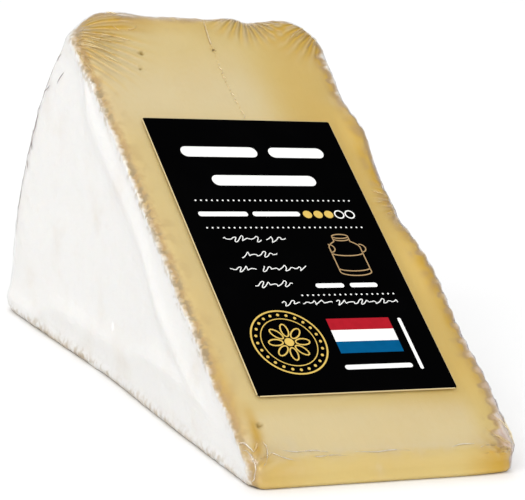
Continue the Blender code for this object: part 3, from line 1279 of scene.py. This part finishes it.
def draw_dots(mesh, height):
    """Three rows of small dots that part the label's fields."""
    pitch = 0.98
    for left, right, along in ((-14.3, 14.2, 10.7), (-14.3, 14.2, 4.7), (-2.6, 14.2, -9.8)):
        count = round((right - left) / pitch)
        for i in range(count + 1):
            add_disc(mesh, left + (right - left) * i / count, along, 0.16, height, 10)


def draw_captions(mesh, height):
    """Thin bars beside the marks and the wavy lines, and round the stripes."""
    bars = (
        # Left, right, low and high
        (-14.8, -5.9, 7.2, 8.2), (-5.0, 3.7, 7.2, 8.2), (0.6, 5.8, -8.3, -7.4),
        (6.9, 12.0, -8.3, -7.4), (-0.7, 11.5, -25.0, -24.1), (12.7, 13.3, -25.4, -14.9),
    )
    for bar in bars:
        add_bar(mesh, *bar, 0.45, height)


def draw_wavy_lines(mesh, height):
    """Rows of thin wavy lines."""
    rows = (
        # Left, right, middle and how high they wave
        (-12.4, -5.4, 2.3, 1.7), (-4.4, -1.0, 2.2, 1.7), (-9.8, -3.8, -1.1, 1.6),
        (-13.3, -8.6, -4.1, 1.5), (-7.6, 0.0, -4.1, 1.6), (-9.9, -3.5, -7.4, 1.7),
        (-6.9, -3.6, -11.3, 1.5), (-2.9, 2.3, -11.3, 1.3), (3.0, 14.3, -11.4, 1.4),
    )
    for seed, row in enumerate(rows):
        add_stroke(mesh, wavy(*row, seed), 0.15, height)


MARK_RADIUS = 0.82
MARK_HEIGHT = 7.6


def draw_marks(mesh, height):
    """Three filled dots."""
    for across in (5.1, 7.1, 9.1):
        add_disc(mesh, across, MARK_HEIGHT, MARK_RADIUS, height, 28)


def draw_rings(mesh, height):
    """Two rings beside the filled dots."""
    for across in (11.1, 13.1):
        add_stroke(mesh, arc((across, MARK_HEIGHT), MARK_RADIUS, 0, 350, 32), 0.22, height, closed=True)


def draw_churn(mesh, height):
    """A thin line drawing of a milk churn."""
    middle, neck, belly = 9.2, 1.5, 2.9
    lines = [
        arc((middle, 2.7), neck, 0, 350, 30, 0.3),
        arc((middle, 2.2), neck, 180, 360, 16, 0.3),
        arc((middle, -5.0), belly, 180, 360, 20, 0.28),
        arc((middle, -0.9), belly, 180, 360, 20, 0.22),
        arc((middle, -4.2), belly, 180, 360, 20, 0.22),
    ]
    for side in (-1, 1):
        lines.append([Vector((middle + side * neck, y)) for y in (2.7, 2.2, 1.6)])
        wall = []
        for t in range(4):
            out = neck + (belly - neck) * math.sin(t * math.pi / 6)
            wall.append(Vector((middle + side * out, 1.6 - 0.42 * t)))
        lines.append(wall + [Vector((middle + side * belly, y)) for y in (-1.5, -3.4, -5.0)])
        lines.append(arc((middle + side * belly, 0.1), 0.95, 90 * side, -90 * side, 12, 0.9))
    for line in lines:
        add_stroke(mesh, line, 0.2, height)


def draw_rosette(mesh, height):
    """A rosette of eight petals inside two rings, with a row of dots between them."""
    centre = (-8.5, -19.2)
    dots, petals, petal_points = 24, 8, 14
    add_stroke(mesh, arc(centre, 6.3, 0, 354, 60), 0.28, height, closed=True)
    add_stroke(mesh, arc(centre, 4.7, 0, 352, 48), 0.16, height, closed=True)
    for i in range(dots):
        add_disc(mesh, *around(centre, 5.5, math.tau * i / dots), 0.26, height, 10)
    for i in range(petals):
        turn = math.tau * i / petals
        petal = []
        for j in range(petal_points):
            t = math.tau * j / petal_points
            middle = around(centre, 2.35 + 1.25 * math.cos(t), turn)
            petal.append(around(middle, 0.62 * math.sin(t), turn + math.pi / 2))
        add_stroke(mesh, petal, 0.24, height, closed=True)
    add_disc(mesh, *centre, 0.8, height, 24)


def draw_stripe(mesh, height, place):
    """One of three level stripes, counted from the lowest."""
    low, high = -21.75, -14.75
    third = (high - low) / 3
    add_bar(mesh, -0.3, 11.1, low + place * third, low + (place + 1) * third, 0.0, height)


PRINTS = (
    # Piece, ink, and what draws it
    ("print_title", "white", draw_title),
    ("print_dots", "white", draw_dots),
    ("print_captions", "white", draw_captions),
    ("print_script", "white", draw_wavy_lines),
    ("print_marks", "gold", draw_marks),
    ("print_rings", "white", draw_rings),
    ("print_emblem", "tan", draw_churn),
    ("print_seal", "gold", draw_rosette),
)


def add_prints(label):
    """All the print on the label."""
    height = label.ink / MM
    for name, ink, draw in PRINTS:
        add_print(name, getattr(label, ink), height, draw)
    for place, ink in enumerate(("blue", "white", "red")):
        add_print("print_stripe_" + ink, getattr(label, ink), height, draw_stripe, place)


# Stage

FLOOR_COLOUR = (0.93, 0.93, 0.93)
FLOOR_DROP = 0.02 * MM
LIGHT_SIDE = 0.8
MIDDLE = (0.0, 0.0, 0.03)
LIGHTS = (
    # Name, place, what it faces and its power in watts
    ("key_light", (-0.9, -0.45, 0.75), MIDDLE, 5.8),
    ("front_light", (-0.35, -1.15, 0.4), MIDDLE, 5.4),
    ("top_light", (-0.3, 0.35, 0.95), MIDDLE, 0.8),
    ("floor_light", (0.4, 0.75, 0.8), (0.4, 0.75, 0.0), 2.2),
)


def add_floor(stage):
    """A plain pale floor, just under the wedge."""
    mesh = bmesh.new()
    bmesh.ops.create_grid(mesh, x_segments=2, y_segments=2, size=stage.floor_reach / 2)
    bmesh.ops.translate(mesh, vec=(0.0, 0.0, -FLOOR_DROP), verts=mesh.verts)
    finish, tree, _ = new_material("floor")
    coat(tree, {"Base Color": FLOOR_COLOUR, "Roughness": 0.7})
    data = as_data("floor", mesh)
    data.materials.append(finish)
    placed("floor", data)


def add_light(name, place, target, power):
    """A square soft light that faces its target."""
    light = bpy.data.lights.new(name, "AREA")
    light.shape = "SQUARE"
    light.size = LIGHT_SIDE
    light.energy = power
    made = placed(name, light)
    made.location = place
    made.rotation_mode = "QUATERNION"
    made.rotation_quaternion = (Vector(target) - Vector(place)).to_track_quat("-Z", "Y")


def add_camera(stage):
    """The camera at the photograph's viewing angle."""
    azimuth, elevation = stage.azimuth, stage.elevation
    level = math.cos(elevation)
    back = Vector((math.sin(azimuth) * level, -math.cos(azimuth) * level, math.sin(elevation)))
    right = Vector((0.0, 0.0, 1.0)).cross(back).normalized()
    up = back.cross(right)
    turned_right = right * math.cos(stage.roll) + up * math.sin(stage.roll)
    turned_up = up * math.cos(stage.roll) - right * math.sin(stage.roll)
    facing = Matrix((turned_right, turned_up, back)).transposed().to_4x4()
    camera = bpy.data.cameras.new("camera")
    camera.lens = stage.lens
    camera.sensor_width = 36.0
    camera.clip_start = 0.01
    made = placed("camera", camera)
    made.matrix_world = Matrix.Translation(stage.eye) @ facing
    bpy.context.scene.camera = made


def add_sky(stage):
    """Even white light from all round."""
    world = bpy.data.worlds.new("studio")
    world.use_nodes = True
    ground = world.node_tree.nodes["Background"]
    ground.inputs["Color"].default_value = (1.0, 1.0, 1.0, 1.0)
    ground.inputs["Strength"].default_value = stage.sky
    bpy.context.scene.world = world
    bpy.context.scene.view_settings.view_transform = "Standard"


# Operators

class WEDGE_OT_cheese(Operator):
    """Add the cheese with its rind and paste"""

    bl_idname = "wedge.cheese"
    bl_label = "Add Cheese"

    def execute(self, context):
        add_cheese(context)
        return {"FINISHED"}


class WEDGE_OT_film(Operator):
    """Add the clear film round the cheese"""

    bl_idname = "wedge.film"
    bl_label = "Add Film"

    def execute(self, context):
        add_film(context)
        return {"FINISHED"}


class WEDGE_OT_folds(Operator):
    """Add the film's pleats, ears, seam, and doubled edges darkened with painted shade"""

    bl_idname = "wedge.folds"
    bl_label = "Add Folds"

    def execute(self, context):
        for make in (add_pleats, add_ears, add_seam, add_rims):
            make(context)
        return {"FINISHED"}


class WEDGE_OT_label(Operator):
    """Finish the label's stock"""

    bl_idname = "wedge.label"
    bl_label = "Finish Label"

    def execute(self, context):
        finish = label_material(context.scene.wedge_label)
        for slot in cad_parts["label"].material_slots:
            slot.material = finish
        return {"FINISHED"}


class WEDGE_OT_print(Operator):
    """Add the print on the label"""

    bl_idname = "wedge.print"
    bl_label = "Add Print"

    def execute(self, context):
        add_prints(context.scene.wedge_label)
        return {"FINISHED"}


class WEDGE_OT_stage(Operator):
    """Add the floor, the lights and the camera"""

    bl_idname = "wedge.stage"
    bl_label = "Add Stage"

    def execute(self, context):
        stage = context.scene.wedge_stage
        add_floor(stage)
        add_sky(stage)
        for light in LIGHTS:
            add_light(*light)
        add_camera(stage)
        return {"FINISHED"}


class WEDGE_PT_sidebar(Panel):
    """The wedge's settings and steps"""

    bl_label = "Cheese Wedge"
    bl_space_type = "VIEW_3D"
    bl_region_type = "UI"
    bl_category = "Cheese Wedge"

    def draw(self, context):
        layout = self.layout
        for name, group in SETTINGS.items():
            box = layout.box()
            for prop in group.__annotations__:
                box.prop(getattr(context.scene, name), prop)
        for step in STEPS:
            layout.operator(step.bl_idname)


STEPS = (
    WEDGE_OT_cheese, WEDGE_OT_film, WEDGE_OT_folds, WEDGE_OT_label, WEDGE_OT_print, WEDGE_OT_stage,
)
CLASSES = (*SETTINGS.values(), *STEPS, WEDGE_PT_sidebar)


def register():
    for item in CLASSES:
        bpy.utils.register_class(item)
    for name, group in SETTINGS.items():
        setattr(bpy.types.Scene, name, PointerProperty(type=group))


def unregister():
    for name in SETTINGS:
        delattr(bpy.types.Scene, name)
    for item in reversed(CLASSES):
        bpy.utils.unregister_class(item)


def main():
    register()
    bpy.ops.wedge.cheese()
    bpy.ops.wedge.film()
    bpy.ops.wedge.folds()
    bpy.ops.wedge.label()
    bpy.ops.wedge.print()
    bpy.ops.wedge.stage()


if __name__ == "__main__":
    main()
